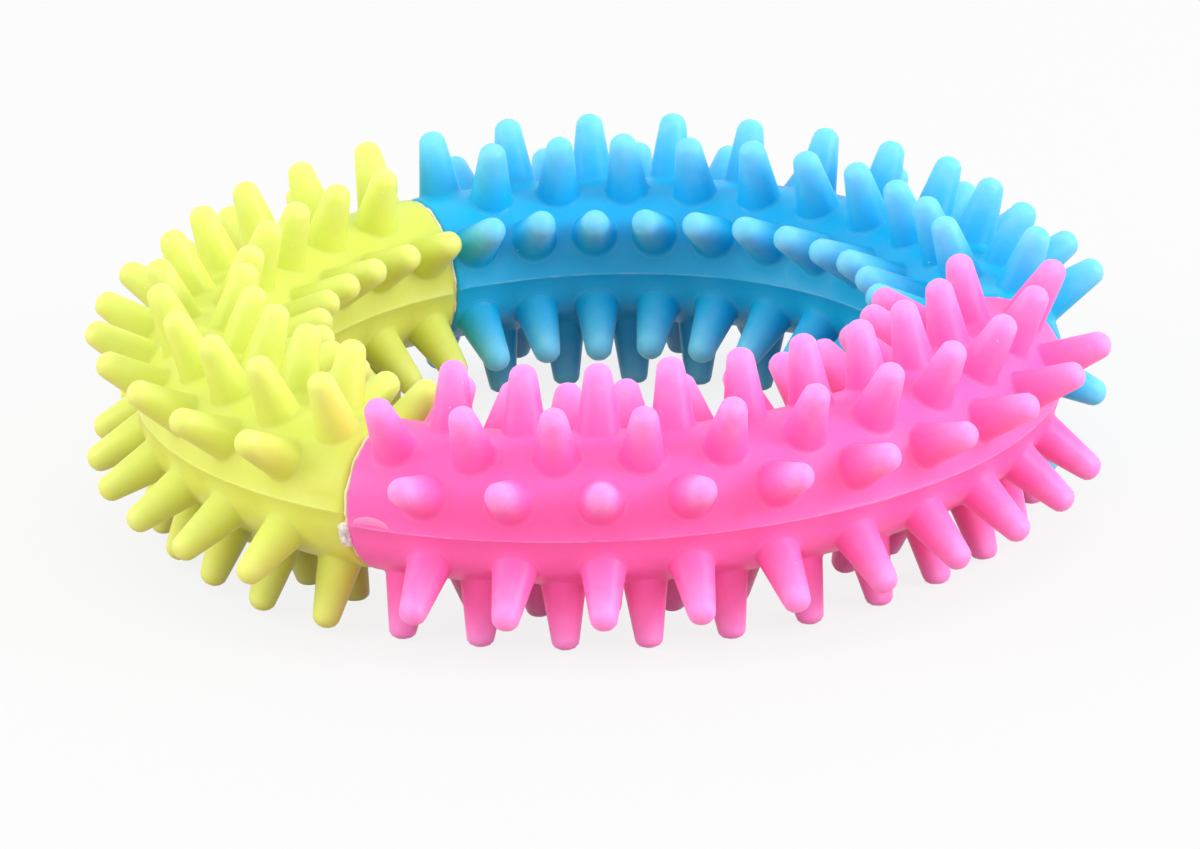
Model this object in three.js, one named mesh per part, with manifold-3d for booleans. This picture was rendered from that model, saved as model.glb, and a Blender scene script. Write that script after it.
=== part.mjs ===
// Spiked chew ring: three moulded rubber arcs, bonded end to end over dowels.
// Millimetres and degrees, +Z up. The ring's axis is the Z axis, and the ring
// stands on the plane z = 0 on the tips of its lower spikes.
import * as THREE from "three";
import { mergeVertices } from "three/addons/utils/BufferGeometryUtils.js";
import Module from "manifold-3d";

// Ring
const RING_RADIUS = 53; // axis of the ring to the middle of the tube
const TUBE_RADIUS = 10.1;
const FIRST_JOINT_ANGLE = 237; // from +X, where the yellow arc meets the pink one

// Arcs, in order round the ring. Each was bonded by hand, so each is rolled a
// little about the middle of its tube.
const ARCS = [
  { name: "pink", colour: 0xff66b8, roll: -6.5 },
  { name: "blue", colour: 0x2faef0, roll: 0.5 },
  { name: "yellow", colour: 0xe2ea58, roll: 2.5 },
];

// Spikes
const SPIKE_LENGTH = 9.1; // tip over the tube
const SPIKE_ROOT_RADIUS = 3;
const SPIKE_TIP_RADIUS = 1.9;
const SPIKE_CROWN = 0.5; // flat end of the tip, as a share of its radius
const SPIKE_END_MARGIN = 4.6; // joint to the first spike of a long row
const LONG_ROW_COUNT = 11; // spikes in a long row, one more than in a short row
const FOOT_FLAT_DEPTH = 0.5; // lower tips, flattened where they stand

// Rows of spikes over the parting line, by their angle round the tube from the
// outer side. The rows under the parting line mirror them. Neighbouring rows
// are staggered by half a pitch.
const UPPER_ROWS = [
  { angle: 30, isLong: false },
  { angle: 66, isLong: true },
  { angle: 106, isLong: false },
  { angle: 148, isLong: true },
];

// Joints
const BOND_THICKNESS = 0.5;
const BOND_GAP = 0.25; // bond face to arc face
const BOND_INSET = 0.2; // bond edge under the tube's surface
const PLUG_RADIUS = 3.5;
const PLUG_LENGTH = 19;
const PLUG_CHAMFER = 0.8;
const PLUG_GAP = 0.3; // round the plug and at its ends

// Facets
const ROUND_SIDES = 14; // plugs and bonds
const TILE_WEAVE = 0.15; // share of a row spacing
const FIRST_CORNER_ANGLE = -135; // of a tile, seen from its middle

const DEGREE = Math.PI / 180;
const ARC_ANGLE = 360 / ARCS.length;
const SEAM_WIDTH = BOND_THICKNESS + 2 * BOND_GAP;
const SOCKET_RADIUS = PLUG_RADIUS + PLUG_GAP;
const SOCKET_DEPTH = (PLUG_LENGTH - SEAM_WIDTH) / 2 + PLUG_GAP;
const LOWER_ROWS = UPPER_ROWS.map((row) => ({ ...row, angle: 360 - row.angle })).reverse();
const ROWS = [...UPPER_ROWS, ...LOWER_ROWS];

const wasm = await Module();
wasm.setup();

// Columns cross an arc at its two ends and at every spike: odd columns hold the
// spikes of the long rows, and even columns those of the short rows.
const LAST_COLUMN = 2 * LONG_ROW_COUNT;
const END_ANGLE = SEAM_WIDTH / 2 / RING_RADIUS / DEGREE;
const MARGIN_ANGLE = SPIKE_END_MARGIN / RING_RADIUS / DEGREE;
const HALF_PITCH = (ARC_ANGLE - 2 * MARGIN_ANGLE) / (LAST_COLUMN - 2);

function columnAngle(column) {
  if (column === 0) return END_ANGLE;
  if (column === LAST_COLUMN) return ARC_ANGLE - END_ANGLE;
  return MARGIN_ANGLE + (column - 1) * HALF_PITCH;
}

function holdsSpike(row, column) {
  const isLongColumn = column % 2 === 1;
  return column > 0 && column < LAST_COLUMN && isLongColumn === row.isLong;
}

// Angle of the edge under a row of tiles. Between staggered rows the edge weaves
// round the spikes, so that each tile is a hexagon with its spike in the middle.
function edgeAngle(rowIndex, column) {
  const upper = ROWS[rowIndex % ROWS.length];
  const lower = ROWS[(rowIndex + ROWS.length - 1) % ROWS.length];
  const spacing = (upper.angle - lower.angle + 360) % 360;
  const middle = upper.angle - spacing / 2;
  const weave = Number(holdsSpike(lower, column)) - Number(holdsSpike(upper, column));
  return middle + weave * TILE_WEAVE * spacing;
}

// Height of the ring's middle plane. The arc whose spikes reach down the least
// still has the full flat on its feet.
function middleHeight() {
  const tipMiddle = TUBE_RADIUS + SPIKE_LENGTH - SPIKE_TIP_RADIUS;
  const reaches = ARCS.map(({ roll }) => {
    const drops = ROWS.map((row) => -tipMiddle * Math.sin((row.angle + roll) * DEGREE));
    return Math.max(...drops) + SPIKE_TIP_RADIUS;
  });
  return Math.min(...reaches) - FOOT_FLAT_DEPTH;
}

const MIDDLE_HEIGHT = middleHeight();

// Points and triangles of one closed body. Loops run counter-clockwise as seen
// from outside it.
class Surface {
  points = [];
  triangles = [];

  add(point) {
    this.points.push(point);
    return this.points.length - 1;
  }

  // Faces between a loop and the loop inside or above it, point for point.
  band(outer, inner) {
    outer.forEach((corner, k) => {
      const next = (k + 1) % outer.length;
      this.triangles.push(corner, outer[next], inner[next]);
      this.triangles.push(corner, inner[next], inner[k]);
    });
  }

  cap(loop) {
    for (let k = 1; k < loop.length - 1; k += 1) {
      this.triangles.push(loop[0], loop[k], loop[k + 1]);
    }
  }

  geometry() {
    return new THREE.BufferGeometry().setFromPoints(this.points).setIndex(this.triangles);
  }
}

// A place on an arc that starts on +X: along the arc, round its tube and from
// the middle of the tube.
function arcPoint(along, around, radius) {
  const reach = RING_RADIUS + radius * Math.cos(around * DEGREE);
  return new THREE.Vector3(
    reach * Math.cos(along * DEGREE),
    reach * Math.sin(along * DEGREE),
    radius * Math.sin(around * DEGREE),
  );
}

// Directions of a spike's sides. The first side faces the first corner of the tile.
function sideAngles(sides) {
  return Array.from({ length: sides }, (_, k) => (FIRST_CORNER_ANGLE + (k * 360) / sides) * DEGREE);
}

// Rings of a spike's outline. The root lies on the tube, and the other rings are
// flat and square to the spike.
function rootRing(along, around, angles) {
  const reach = RING_RADIUS + TUBE_RADIUS * Math.cos(around * DEGREE);
  return angles.map((angle) => {
    const shift = (SPIKE_ROOT_RADIUS * Math.cos(angle)) / reach / DEGREE;
    const climb = (SPIKE_ROOT_RADIUS * Math.sin(angle)) / TUBE_RADIUS / DEGREE;
    return arcPoint(along + shift, around + climb, TUBE_RADIUS);
  });
}

function flatRing(along, around, angles, height, radius) {
  const middle = arcPoint(along, around, TUBE_RADIUS + height);
  const forward = new THREE.Vector3(-Math.sin(along * DEGREE), Math.cos(along * DEGREE), 0);
  const outward = middle.clone().sub(arcPoint(along, around, TUBE_RADIUS)).normalize();
  const sideways = outward.clone().cross(forward);
  return angles.map((angle) =>
    middle
      .clone()
      .addScaledVector(forward, radius * Math.cos(angle))
      .addScaledVector(sideways, radius * Math.sin(angle)),
  );
}

// A tile with its spike, which has one side for each point of the tile's edge.
function addSpike(surface, tileEdge, along, around) {
  const angles = sideAngles(tileEdge.length);
  const shoulder = SPIKE_LENGTH - SPIKE_TIP_RADIUS;
  const rings = [
    rootRing(along, around, angles),
    flatRing(along, around, angles, shoulder, SPIKE_TIP_RADIUS),
    flatRing(along, around, angles, SPIKE_LENGTH, SPIKE_CROWN * SPIKE_TIP_RADIUS),
  ];
  let below = tileEdge;
  for (const ring of rings) {
    const loop = ring.map((point) => surface.add(point));
    surface.band(below, loop);
    below = loop;
  }
  surface.cap(below);
}

// End face of an arc with the blind socket for the plug.
function addEnd(surface, edge, along, roll, inward) {
  const into = new THREE.Vector3(-Math.sin(along * DEGREE), Math.cos(along * DEGREE), 0);
  const angles = ROWS.flatMap((row, index) => [edgeAngle(index, 0), row.angle]);
  const mouth = angles.map((angle) => arcPoint(along, angle + roll, SOCKET_RADIUS));
  const floor = mouth.map((point) => point.clone().addScaledVector(into, inward * SOCKET_DEPTH));
  const loops = [edge, ...[mouth, floor].map((ring) => ring.map((point) => surface.add(point)))];
  if (inward < 0) loops.forEach((loop) => loop.reverse());
  surface.band(loops[0], loops[1]);
  surface.band(loops[1], loops[2]);
  surface.cap(loops[2]);
}

// One arc: the tube's surface is laid with tiles, and each tile rises to a spike.
function arcGeometry(roll) {
  const surface = new Surface();
  const columns = Array.from({ length: LAST_COLUMN + 1 }, (_, column) => column);
  const onTube = (column, angle) =>
    surface.add(arcPoint(columnAngle(column), angle + roll, TUBE_RADIUS));
  const edges = ROWS.map((_, index) => columns.map((column) => onTube(column, edgeAngle(index, column))));
  const middles = ROWS.map((row) =>
    columns.map((column) => (holdsSpike(row, column) ? null : onTube(column, row.angle))),
  );

  ROWS.forEach((row, index) => {
    const low = edges[index];
    const middle = middles[index];
    const high = edges[(index + 1) % ROWS.length];
    for (const column of columns.filter((candidate) => holdsSpike(row, candidate))) {
      const [left, right] = [column - 1, column + 1];
      const lowSide = [low[left], low[column], low[right]];
      const highSide = [high[right], high[column], high[left]];
      const tileEdge = [...lowSide, middle[right], ...highSide, middle[left]];
      addSpike(surface, tileEdge, columnAngle(column), row.angle + roll);
    }
    if (!row.isLong) {
      for (const left of [0, LAST_COLUMN - 1]) {
        const right = left + 1;
        surface.cap([low[left], low[right], middle[right], middle[left]]);
        surface.cap([middle[left], middle[right], high[right], high[left]]);
      }
    }
  });

  const endEdge = (column) => ROWS.flatMap((_, index) => [edges[index][column], middles[index][column]]);
  addEnd(surface, endEdge(0), columnAngle(0), roll, 1);
  addEnd(surface, endEdge(LAST_COLUMN), columnAngle(LAST_COLUMN), roll, -1);
  return surface.geometry();
}

function toSolid(geometry) {
  const bare = geometry.clone().deleteAttribute("normal").deleteAttribute("uv");
  const merged = mergeVertices(bare);
  const vertProperties = new Float32Array(merged.attributes.position.array);
  const triVerts = new Uint32Array(merged.index.array);
  return new wasm.Manifold(new wasm.Mesh({ numProp: 3, vertProperties, triVerts }));
}

function toGeometry(solid) {
  const { vertProperties, triVerts } = solid.getMesh();
  return new THREE.BufferGeometry()
    .setAttribute("position", new THREE.BufferAttribute(vertProperties, 3))
    .setIndex(new THREE.BufferAttribute(triVerts, 1));
}

// Cuts away what reaches below the plane that the ring stands on.
function standOnFloor(geometry, floorHeight) {
  geometry.computeBoundingBox();
  const size = geometry.boundingBox.getSize(new THREE.Vector3());
  const middle = geometry.boundingBox.getCenter(new THREE.Vector3());
  const block = new THREE.BoxGeometry(2 * size.x, 2 * size.y, 2 * size.z);
  block.translate(middle.x, middle.y, floorHeight - size.z);
  return toGeometry(toSolid(geometry).subtract(toSolid(block)));
}

function rubber(colour) {
  return new THREE.MeshStandardMaterial({ color: colour, roughness: 0.5, metalness: 0 });
}

function arcMesh({ name, colour, roll }) {
  const geometry = standOnFloor(arcGeometry(roll), -MIDDLE_HEIGHT);
  const mesh = new THREE.Mesh(geometry, rubber(colour));
  mesh.name = `${name}_arc`;
  return mesh;
}

// Dowel with chamfered ends, along Y.
function plugMesh(jointName) {
  const half = PLUG_LENGTH / 2;
  const profile = [
    new THREE.Vector2(0, -half),
    new THREE.Vector2(PLUG_RADIUS - PLUG_CHAMFER, -half),
    new THREE.Vector2(PLUG_RADIUS, PLUG_CHAMFER - half),
    new THREE.Vector2(PLUG_RADIUS, half - PLUG_CHAMFER),
    new THREE.Vector2(PLUG_RADIUS - PLUG_CHAMFER, half),
    new THREE.Vector2(0, half),
  ];
  const material = new THREE.MeshStandardMaterial({ color: 0xe9e6dc, roughness: 0.6, metalness: 0 });
  const mesh = new THREE.Mesh(new THREE.LatheGeometry(profile, ROUND_SIDES), material);
  mesh.name = `plug_${jointName}`;
  return mesh;
}

// Film of cured adhesive between two arc ends, round the plug.
function bondMesh(jointName) {
  const half = BOND_THICKNESS / 2;
  const outer = TUBE_RADIUS - BOND_INSET;
  const profile = [
    new THREE.Vector2(SOCKET_RADIUS, -half),
    new THREE.Vector2(outer, -half),
    new THREE.Vector2(outer, half),
    new THREE.Vector2(SOCKET_RADIUS, half),
    new THREE.Vector2(SOCKET_RADIUS, -half),
  ];
  const material = new THREE.MeshStandardMaterial({ color: 0xf3ead2, roughness: 0.35, metalness: 0 });
  const mesh = new THREE.Mesh(new THREE.LatheGeometry(profile, ROUND_SIDES), material);
  mesh.name = `bond_${jointName}`;
  return mesh;
}

const ring = new THREE.Group();
ARCS.forEach((arc, index) => {
  const previous = ARCS[(index + ARCS.length - 1) % ARCS.length];
  const jointName = `${previous.name}_${arc.name}`;
  const start = new THREE.Group();
  start.position.z = MIDDLE_HEIGHT;
  start.rotation.z = (FIRST_JOINT_ANGLE + index * ARC_ANGLE) * DEGREE;
  const joint = new THREE.Group();
  joint.position.x = RING_RADIUS;
  joint.add(plugMesh(jointName), bondMesh(jointName));
  start.add(arcMesh(arc), joint);
  ring.add(start);
});

export default ring;
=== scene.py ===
"""Surfaces, seams and stage of a spiked rubber chew ring, laid out as a Blender add-on.

Three moulded arcs are bonded end to end. Each arc is a tube whose skin is laid with tiles,
and each tile rises to a tapered spike. All sizes are in metres and all angles in radians.
"""

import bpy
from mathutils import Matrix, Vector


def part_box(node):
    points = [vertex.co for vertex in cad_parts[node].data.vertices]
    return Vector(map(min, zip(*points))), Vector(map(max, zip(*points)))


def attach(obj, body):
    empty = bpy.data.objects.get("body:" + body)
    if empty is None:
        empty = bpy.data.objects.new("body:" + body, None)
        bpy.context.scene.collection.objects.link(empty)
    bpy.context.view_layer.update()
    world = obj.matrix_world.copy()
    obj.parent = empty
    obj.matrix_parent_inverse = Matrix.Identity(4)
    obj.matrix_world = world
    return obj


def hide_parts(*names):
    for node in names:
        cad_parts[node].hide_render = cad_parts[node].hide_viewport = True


bl_info = {
    "name": "Spiked Chew Ring",
    "version": (1, 0, 0),
    "blender": (4, 5, 0),
    "location": "View3D > Sidebar > Chew Ring",
    "description": "Builds a spiked rubber chew ring from three bonded arcs",
    "category": "Add Mesh",
}

import math
from functools import partial

import bpy
from bpy.props import FloatProperty, FloatVectorProperty, IntProperty, PointerProperty
from mathutils import Matrix, Vector

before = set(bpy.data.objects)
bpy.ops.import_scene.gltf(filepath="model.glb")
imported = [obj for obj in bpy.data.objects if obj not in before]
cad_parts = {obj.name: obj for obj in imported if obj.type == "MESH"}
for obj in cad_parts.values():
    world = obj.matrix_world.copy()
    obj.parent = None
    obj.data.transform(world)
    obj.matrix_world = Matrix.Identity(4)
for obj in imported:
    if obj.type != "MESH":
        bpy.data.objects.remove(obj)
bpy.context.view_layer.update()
BODY = "root"


# What the frame gives: the ring's middle line, its joints and its tube.


def middle_of(node):
    """Middle of a solid's box."""
    low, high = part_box(node)
    return (low + high) / 2


BOND_INSET = 0.0002  # bond edge under the tube's skin
FIRST_JOINT = middle_of("plug_yellow_pink")
RING_RADIUS = math.hypot(FIRST_JOINT.x, FIRST_JOINT.y)
FIRST_JOINT_ANGLE = math.atan2(FIRST_JOINT.y, FIRST_JOINT.x)
MIDDLE_HEIGHT = FIRST_JOINT.z
BOND_LOW, BOND_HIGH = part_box("bond_yellow_pink")
TUBE_RADIUS = (BOND_HIGH.z - BOND_LOW.z) / 2 + BOND_INSET

ARC_NAMES = ("pink", "blue", "yellow")  # counter-clockwise from the first joint
JOINT_NAMES = ("yellow_pink", "pink_blue", "blue_yellow")  # where each of these arcs starts
ARC_ANGLE = math.tau / len(ARC_NAMES)

# Rows of spikes: angle round the tube from its outer side, and whether the row is long, with
# one spike more. The rows under the parting line mirror those over it.
UPPER_ROWS = ((30, False), (66, True), (106, False), (148, True))
LOWER_ROWS = tuple((360 - angle, is_long) for angle, is_long in reversed(UPPER_ROWS))
ROWS = tuple((math.radians(angle), is_long) for angle, is_long in UPPER_ROWS + LOWER_ROWS)
PARTING_LINES = (0, math.pi)
LONG_ROW_COUNT = 11
LAST_COLUMN = 2 * LONG_ROW_COUNT
TILE_WEAVE = 0.15  # share of a row spacing by which a tile's edge bends round a spike

# Faces of a tile: eight corners, cuts between two of them, and bands from its edge to the tip
CORNERS = 8
CORNER_CUTS = 3
SPIKE_SIDES = CORNER_CUTS * CORNERS
FIRST_SIDE_ANGLE = math.radians(-135)
SKIN_BANDS = 1
FILLET_BANDS = 2
DOME_BANDS = 4
SHOULDER_RING = SKIN_BANDS + FILLET_BANDS + 1
SPIKE_BANDS = SHOULDER_RING + DOME_BANDS
BARE_COLUMNS = CORNER_CUTS
BARE_BANDS = 2 * CORNER_CUTS
CREST_BANDS = 1.5  # half of the bands of a parting line that are painted paler, a painted highlight on its crest
END_ROUND_STEPS = 4
FOOT_ROUND = 0.0012  # over which a foot rounds off into its flat

# Faces of a bead of adhesive and of a gate mark
BEAD_COLUMNS = 240
BEAD_CAP_STEPS = 6
BEAD_POINTS = BEAD_CAP_STEPS + 3
SQUEEZE_STEEPNESS = 4  # how many times over the squeezed-out adhesive ends before its reach
GATE_COLUMNS = 14
GATE_BANDS = 3
GATE_HOLLOW = 0.3  # share of a gate mark's height by which its lower side is hollow

ARC_SOFTNESS = 0.5  # share of the light that enters the rubber
GATE_SOFTNESS = 0.0
GATE_PALENESS = (0.09, 0.24)  # share of white at a gate mark's foot and at its rim; the rise to the rim is a painted highlight
ROOT_LINE = 0.77  # faintness of the mould line round a spike's root, beside the painted highlight on the parting ridge
WELD_DISTANCE = 0.000002
CREASE_ANGLE = math.radians(55)

# Finish of the rubber, with its painted highlight and painted sheen. A noise is given by its
# patches to the metre and its detail, and a range by the values between which an effect sets in.
BLOTCHES = (75.0, 3.0)
BLOTCH_CONTRAST = 0.16
CLOUDS = (320.0, 2.0)
CLOUD_CONTRAST = 0.07
GRAIN = (2200.0, 3.0)
LINE_BREAKS = (420.0, 1.0)
LINE_BREAK_RANGE = (0.25, 0.667)
LINE_RANGE = (0.667, 1.0)
SHEEN_PATCHES = (520.0, 4.0)
SHEEN_PATCH_RANGE = (0.4, 0.733)
SHEEN_PATCH_STRENGTH = 0.5
PALENESS_OF_MARKS_AND_HIGHLIGHTS = 0.13  # share of white in mould lines, the painted ridge highlight and the painted sheen patches
SATIN_ROUGHNESS = 0.42
CLOUD_ROUGHNESS = 0.16
CLOUD_HEIGHT = 2.0  # beside the height of the grain
GRAIN_ROUGHNESS = 0.1
PLUG_ROUGHNESS = 0.3  # by which the plugs are rougher than the arcs
RUBBER_GRAIN = 0.12
PLUG_GRAIN = 0.2
GRAIN_DEPTH = 0.0001
RUBBER_SHINE = 0.32
LIGHT_DEPTH = 0.003  # how far light goes into the rubber
LINT_SPACING = 0.004
LINT_SIZE = 0.00017
LINT_SHARE = 0.75  # of the places that hold a speck
LINT_STRENGTH = 0.45
LINT_WARP = (900.0, 1.0)
LINT_SMALLEST = 0.4  # as a share of the largest speck
LINT_EDGE = 3.0  # steepness of a speck's edge

# Finish of the adhesive. The first two noises run round the joint, and not over metres.
CROWN = (5.0, 2.0)
SPREAD = (24.0, 2.0)
SPREAD_RANGE = (0.4, 1.6)  # least and most share of the spread
LUMPS = (1800.0, 3.0)
LUMP_BUMP = 0.5
LUMP_DEPTH = 0.0002
PIT_SHADE = 0.43
PIT_RANGE = (0.333, 0.667)
STRETCHES = (230.0, 2.0)  # of thin adhesive that has yellowed
STRETCH_RANGE = (0.46, 0.66)
STRETCH_AMBER = 0.45
FLANK_AMBER = 0.8  # beside what was squeezed out
FLANK_SQUEEZE = 0.3
FLANK_REACH = 0.25
FLANK_RANGE = (0.35, 0.6)
THICK_STEEPNESS = 2.4
THICK_RANGE = (1.7, 2.7)
ADHESIVE_ROUGHNESS = (0.25, 0.5)  # in the pits and on the lumps
ADHESIVE_SOFTNESS = 0.35
ADHESIVE_DEPTH = 0.0008
ADHESIVE_DEPTHS = (1.0, 0.8, 0.6)  # shares of it for red, green and blue light

# Stage
KEY_PLACE = Vector((0.93, -0.35, 0.5))
FILL_PLACE = Vector((-0.95, -0.2, 0.45))
LAMP_SIZE = 0.45
FLOOR_REACH = 6.0
FLOOR_LEVEL = -0.00005  # just under the feet
FLOOR_ROUGHNESS = 0.9
FLOOR_SHINE = 0.1
SENSOR_WIDTH = 36  # millimetres


# Sizes and colours that a user may change


def metres(name, description, length):
    return FloatProperty(
        name=name, description=description, default=length, precision=5, unit="LENGTH")


def degrees(name, description, angle):
    return FloatProperty(
        name=name, description=description, default=math.radians(angle), subtype="ANGLE")


def tint(name, description, colour):
    return FloatVectorProperty(
        name=name, description=description, default=colour, min=0, max=1, subtype="COLOR")


class RingSizes(bpy.types.PropertyGroup):
    """Sizes of the ring's tube and its arcs."""

    ring_radius: metres("Ring Radius", "Axis of the ring to the middle of the tube", RING_RADIUS)
    tube_radius: metres("Tube Radius", "Radius of the tube under the spikes", TUBE_RADIUS)
    edge_round: metres("Edge Round", "Radius of the edge round an arc's end", 0.0007)
    socket_radius: metres("Socket Radius", "Radius of the blind hole in an arc's end", 0.0038)
    socket_depth: metres("Socket Depth", "Depth of the blind hole in an arc's end", 0.0096)
    parting_width: metres(
        "Parting Line Width", "Width of the ridge where the mould halves met", 0.0006)
    parting_height: metres(
        "Parting Line Height", "Height of the ridge where the mould halves met", 0.00016)
    pink_roll: degrees("Pink Roll", "Turn of the pink arc about its tube", -6.5)
    blue_roll: degrees("Blue Roll", "Turn of the blue arc about its tube", 0.5)
    yellow_roll: degrees("Yellow Roll", "Turn of the yellow arc about its tube", 2.5)


class SpikeSizes(bpy.types.PropertyGroup):
    """Sizes of one spike and the play in how the spikes stand."""

    length: metres("Spike Length", "Tip of a spike over the tube", 0.0091)
    root_radius: metres("Root Radius", "Radius of a spike where it leaves the tube", 0.003)
    tip_radius: metres("Tip Radius", "Radius of a spike under its round tip", 0.0019)
    tip_height: metres("Tip Height", "Height of the round tip", 0.0017)
    root_fillet: metres("Root Fillet", "Reach of the fillet round a spike's root", 0.0004)
    end_margin: metres("End Margin", "Joint to the first spike of a long row", 0.0046)
    lean: metres("Lean", "Most by which a tip stands off its place", 0.00022)
    seed: IntProperty(name="Seed", description="Seed of the spikes' lean", default=7)


class GateSizes(bpy.types.PropertyGroup):
    """Sizes of the crescent that is left where the rubber was let into the mould."""

    start: metres("Start", "Joint to the near end of the mark", 0.0011)
    length: metres("Length", "Length of the mark along the parting line", 0.0058)
    height: metres("Height", "Height of the mark over the parting line", 0.0016)
    rise: metres("Rise", "Most by which the mark stands off the tube", 0.00007)
    root: metres("Root", "Depth of the mark under the tube's skin", 0.0002)


class BondSizes(bpy.types.PropertyGroup):
    """Sizes of the adhesive between two arcs, and where most of it was squeezed out."""

    seam_width: metres("Seam Width", "Gap between two arc ends, filled with adhesive", 0.0003)
    fill: metres("Fill", "Crown of the bead over the foot of the groove", 0.00042)
    meniscus: metres("Meniscus", "Extra half width of the bead under its crown", 0.00015)
    lump: metres("Lump", "Unevenness of the crown", 0.0012)
    squeeze_height: metres("Squeeze Height", "Extra crown where adhesive was squeezed out", 0.0006)
    squeeze_spread: metres(
        "Squeeze Spread", "Extra half width where adhesive was squeezed out", 0.00065)
    squeeze_shift: metres(
        "Squeeze Shift", "How far it was squeezed out over the arc before the joint", 0.0005)
    squeeze_reach: degrees(
        "Squeeze Reach", "Half of the stretch where adhesive was squeezed out", 13)
    yellow_pink_squeeze: degrees(
        "Yellow to Pink", "Where adhesive was squeezed out, round the tube", -17)
    pink_blue_squeeze: degrees(
        "Pink to Blue", "Where adhesive was squeezed out, round the tube", -38)
    blue_yellow_squeeze: degrees(
        "Blue to Yellow", "Where adhesive was squeezed out, round the tube", 22)
    seed: IntProperty(name="Seed", description="Seed of the bead's unevenness", default=35)


class FinishColours(bpy.types.PropertyGroup):
    """Colours of the rubber and of the adhesive."""

    # The tip colours are painted light: each spike is painted paler towards its tip, a stand-in
    # for the light that falls on it there.
    pink: tint("Pink", "Rubber of the pink arc", (1.0, 0.138, 0.49))
    pink_tips: tint("Pink Tips", "Thin rubber at the tips of the pink spikes", (1.0, 0.278, 0.69))
    blue: tint("Blue", "Rubber of the blue arc", (0.0033, 0.42, 0.76))
    blue_tips: tint("Blue Tips", "Thin rubber at the tips of the blue spikes", (0.15, 0.61, 0.9))
    yellow: tint("Yellow", "Rubber of the yellow arc", (0.655, 0.73, 0.116))
    yellow_tips: tint(
        "Yellow Tips", "Thin rubber at the tips of the yellow spikes", (0.71, 0.785, 0.172))
    plug: tint("Plug", "Rubber of the dowel plugs", (0.8, 0.79, 0.72))
    lint: tint("Lint", "Specks of lint on the rubber", (0.95, 0.93, 0.92))
    adhesive: tint("Adhesive", "Cured adhesive where it is thick", (0.903, 0.872, 0.798))
    thin_adhesive: tint("Thin Adhesive", "Cured adhesive where it is thin", (0.882, 0.777, 0.546))
    amber_adhesive: tint(
        "Amber Adhesive", "Cured adhesive that has yellowed", (0.578, 0.315, 0.063))


class StageSettings(bpy.types.PropertyGroup):
    """Camera, lamps and floor."""

    focal_length: FloatProperty(
        name="Focal Length", description="Camera lens in millimetres",
        default=326.4, subtype="DISTANCE_CAMERA")
    distance: metres("Distance", "Camera to the ring's middle", 1.4796)
    elevation: degrees("Elevation", "Camera over the ring's plane", 19.442)
    roll: degrees("Roll", "Turn of the camera about its view", -2.24)
    drop: metres("Drop", "View's middle under the ring's middle", 0.00687)
    key_power: FloatProperty(
        name="Key Lamp", description="Soft lamp on the right",
        default=6.4, unit="POWER")
    fill_power: FloatProperty(
        name="Fill Lamp", description="Soft lamp on the left",
        default=3.0, unit="POWER")
    sky_strength: FloatProperty(
        name="Surround", description="Even light from all sides",
        default=1.2)
    floor_glow: FloatProperty(
        name="Floor White", description="How far the floor is seen as plain white",
        default=0.84, min=0, max=1, subtype="FACTOR")
    floor_colour: tint("Floor", "Colour of the floor", (0.58, 0.58, 0.58))
    floor_bounce: tint(
        "Floor Bounce", "Colour of the light that the floor throws back", (0.56, 0.39, 0.34))


class ChewRingSettings(bpy.types.PropertyGroup):
    """All that the ring is made from."""

    ring: PointerProperty(type=RingSizes)
    spikes: PointerProperty(type=SpikeSizes)
    gates: PointerProperty(type=GateSizes)
    bonds: PointerProperty(type=BondSizes)
    colours: PointerProperty(type=FinishColours)
    stage: PointerProperty(type=StageSettings)


# Node trees, written as arithmetic


def arithmetic(operation, is_swapped=False):
    """A method of a field that adds a Math node, with the field first or second."""
    def method(field, other):
        values = (other, field) if is_swapped else (field, other)
        return calculate(operation, *values)
    return method


class Field:
    """A value in a node tree. Arithmetic on it adds Math nodes to the tree."""

    def __init__(self, tree, socket):
        self.tree = tree
        self.socket = socket

    __add__ = arithmetic("ADD")
    __radd__ = arithmetic("ADD", is_swapped=True)
    __sub__ = arithmetic("SUBTRACT")
    __rsub__ = arithmetic("SUBTRACT", is_swapped=True)
    __truediv__ = arithmetic("DIVIDE")
    __rtruediv__ = arithmetic("DIVIDE", is_swapped=True)

    def __mul__(self, other):
        if is_vector(self) == is_vector(other):
            return calculate("MULTIPLY", self, other)
        values = (self, other) if is_vector(self) else (other, self)
        return calculate("SCALE", *values)

    def __rmul__(self, other):
        return self * other

    def __neg__(self):
        return self * -1.0


def is_vector(value):
    """Whether a field or a constant is a vector."""
    if isinstance(value, Field):
        return value.socket.type in ("VECTOR", "RGBA")
    return isinstance(value, (tuple, Vector))


def feed(socket, value):
    """Links a field to a socket, or sets a constant on it."""
    if isinstance(value, Field):
        value.tree.links.new(value.socket, socket)
    else:
        socket.default_value = value


def calculate(operation, *values):
    """Result of a Math node, or of a Vector Math node where a value is a vector."""
    tree = next(value.tree for value in values if isinstance(value, Field))
    on_vectors = any(is_vector(value) for value in values)
    node = tree.nodes.new("ShaderNodeVectorMath" if on_vectors else "ShaderNodeMath")
    node.operation = operation
    sockets = [socket for socket in node.inputs if socket.enabled]
    for socket, value in zip(sockets, values):
        feed(socket, value)
    return Field(tree, node.outputs[0])


sine = partial(calculate, "SINE")
cosine = partial(calculate, "COSINE")
smaller = partial(calculate, "MINIMUM")
larger = partial(calculate, "MAXIMUM")
size_of = partial(calculate, "ABSOLUTE")
is_more = partial(calculate, "GREATER_THAN")
is_less = partial(calculate, "LESS_THAN")


def held(value, low=0, high=1):
    """A value kept between two limits."""
    return smaller(larger(value, low), high)


def ramp(value, limits):
    """0 up to the first limit, 1 from the second on, and a straight rise between them."""
    start, end = limits
    return held((value - start) / (end - start))


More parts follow.
